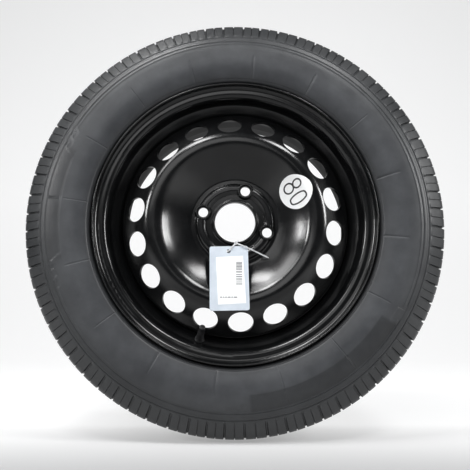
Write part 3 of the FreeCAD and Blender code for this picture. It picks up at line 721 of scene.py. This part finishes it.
verts, faces = [], []
eye = np.array([-9.5, -44.7])
e2 = np.array([0.648, 0.762])
loop_path = [(3.0, 46.6), (-2.0, 46.7), (-5.4, 48.6), (-6.7, 52.0), (-6.8, 56.0), (-6.4, 59.0), (-5.6, 60.8), (-3.4, 62.6), (-1.6, 65), (-0.2, 67.4),
             (2.2, 68.1), (6, 67.3), (10.2, 66.7), (12.6, 65.2), (14.8, 63.2), (18, 62.5), (20.4, 61.2), (21.5, 58.6), (21.8, 54.0), (21.0, 49.6),
             (18.2, 47.2), (12.0, 46.6), (3.1, 46.6)]
loop3 = [(eye[0] + e2[0] * s, -d, eye[1] + e2[1] * s) for s, d in loop_path]
strap(curve_through(loop3), (-e2[1], 0.0, e2[0]), 2.0, 1.0, verts, faces)
head = np.array([1.3, -32.0])
to = np.array([50.0, -53.8]) - head
to /= np.linalg.norm(to)
tail_path = [(0.2, 62.9), (4, 64.6), (9, 66.7), (14, 67.7), (20, 67.6), (28, 66.2), (38, 63.6), (46, 61.6), (53, 60.4)]
tail3 = [(head[0] + to[0] * q, -d, head[1] + to[1] * q) for q, d in tail_path]
strap(curve_through(tail3), (-to[1], 0.0, to[0]), 2.0, 1.0, verts, faces, teeth=True, tip=True)
tie = add_object("tie_strap", verts, faces, white_nylon, 40.0)
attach(tie, "wheel")
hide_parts("tag_tie")


def build_head():
    """The tie's lock: a rounded block."""
    verts, faces = [], []
    sx, sz = e2, np.array([-e2[1], e2[0]])
    rows = [(61.0, -0.5), (61.4, 0.0), (63.8, 0.0), (64.2, -0.45), (64.2, -1.35), (63.2, -1.45)]
    outline = []
    for k in range(24):
        a = TAU * (k + 0.5) / 24
        c, s = math.cos(a), math.sin(a)
        p = 5.0
        m = (abs(c) ** p + abs(s) ** p) ** (-1 / p)
        outline.append((c * m, s * m))
    for d, grow in rows:
        for c, s in outline:
            q = head + sx * c * (2.5 + grow) + sz * s * (2.3 + grow)
            verts.append((q[0], -d, q[1]))
    n = 24
    for i in range(len(rows) - 1):
        for k in range(n):
            m = (k + 1) % n
            faces.append([i * n + k, i * n + m, (i + 1) * n + m, (i + 1) * n + k])
    faces.append(list(range(n))[::-1])
    faces.append([(len(rows) - 1) * n + k for k in range(n)])
    return add_object("tie_head", verts, faces, white_nylon, 35.0)


lock = build_head()
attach(lock, "wheel")


# ---------------------------------------------------------------- stage, light and camera
def make_stage_material(name):
    """A pale stage, lit from within behind the wheel and beside it, with a darker floor in front of the wheel that
    barely glows.
    """
    mat, t, b = material(name)
    p = place(t)
    xyz = node(t, "ShaderNodeSeparateXYZ", {"Vector": p})
    depth = xyz.outputs["Y"]
    beside = spread(t, maths(t, "ABSOLUTE", xyz.outputs["X"]), 0.32, 0.50, 0.0, 1.0)
    shade = maths(t, "MAXIMUM", spread(t, depth, -0.34, -0.20, 0.0, 1.0), beside)
    t.links.new(ramp(t, shade, [(0.0, (0.36, 0.361, 0.363)), (1.0, (0.45, 0.452, 0.455))]), b.inputs["Base Color"])
    b.inputs["Roughness"].default_value = 0.8
    b.inputs["Specular IOR Level"].default_value = 0.1
    b.inputs["Emission Color"].default_value = (1, 1, 1, 1)
    glow = spread(t, depth, -0.20, 0.06, 0.02, 0.60)
    t.links.new(maths(t, "MAXIMUM", glow, maths(t, "MULTIPLY", beside, 0.30)), b.inputs["Emission Strength"])
    return mat


def build_stage():
    """Pale floor that sweeps up into a backdrop."""
    line = [(-3.0, -0.3112)] + [(1.1, -0.3112)]
    for k in range(1, 13):
        a = math.radians(90) * k / 12
        line.append((1.1 + 0.8 * math.sin(a), -0.3112 + 0.8 * (1 - math.cos(a))))
    line.append((1.9, 3.2))
    verts, faces = [], []
    for y, zz in line:
        verts += [(-3500, y * 1000, zz * 1000), (3500, y * 1000, zz * 1000)]
    for k in range(len(line) - 1):
        faces.append([2 * k, 2 * k + 1, 2 * k + 3, 2 * k + 2])
    return add_object("stage_floor", verts, faces, make_stage_material("stage_white"), 60.0)


build_stage()


def area(name, loc, target, size, power, colour=(1, 1, 1)):
    light = bpy.data.lights.new(name, "AREA")
    light.shape = "RECTANGLE"
    light.size, light.size_y = size
    light.energy = power
    light.color = colour
    obj = bpy.data.objects.new(name, light)
    scene.collection.objects.link(obj)
    obj.location = loc
    obj.rotation_euler = (Vector(target) - Vector(loc)).to_track_quat("-Z", "Y").to_euler()
    return obj


area("key", (-0.55, -1.80, 0.95), (0, 0, 0), (1.50, 1.00), 9.0)
area("ceiling_left", (-0.53, -0.72, 1.44), (0, 0, 0), (0.44, 0.32), 10.0)
area("ceiling_right", (0.65, -0.76, 1.32), (0, 0, 0), (0.44, 0.32), 10.0)
area("strip_left", (-0.77, -0.44, 1.29), (0, -0.05, 0), (0.34, 1.13), 10.0)
area("left", (-1.33, -0.76, 0.50), (0, 0, 0), (0.24, 0.34), 7.5)
area("right", (1.43, -0.58, 0.50), (0, 0, 0), (0.22, 0.62), 13.5)

world = bpy.data.worlds.new("studio")
world.use_nodes = True
world.node_tree.nodes["Background"].inputs["Color"].default_value = (0.9, 0.95, 1.0, 1.0)
world.node_tree.nodes["Background"].inputs["Strength"].default_value = 0.08
scene.world = world
scene.view_settings.view_transform = "Standard"
scene.view_settings.look = "None"
scene.view_settings.exposure = 0.0
scene.view_settings.gamma = 1.0

cam = bpy.data.cameras.new("camera")
cam.lens = 40.44
cam.sensor_width = 36.0
cam.sensor_fit = "HORIZONTAL"
cam.clip_start = 0.01
cam.dof.use_dof = False
cam_obj = bpy.data.objects.new("camera", cam)
scene.collection.objects.link(cam_obj)
cam_obj.location = (0.0, -0.8324, -0.1393)
cam_obj.rotation_euler = (math.radians(90.0 + 8.82), 0.0, 0.0)
scene.camera = cam_obj
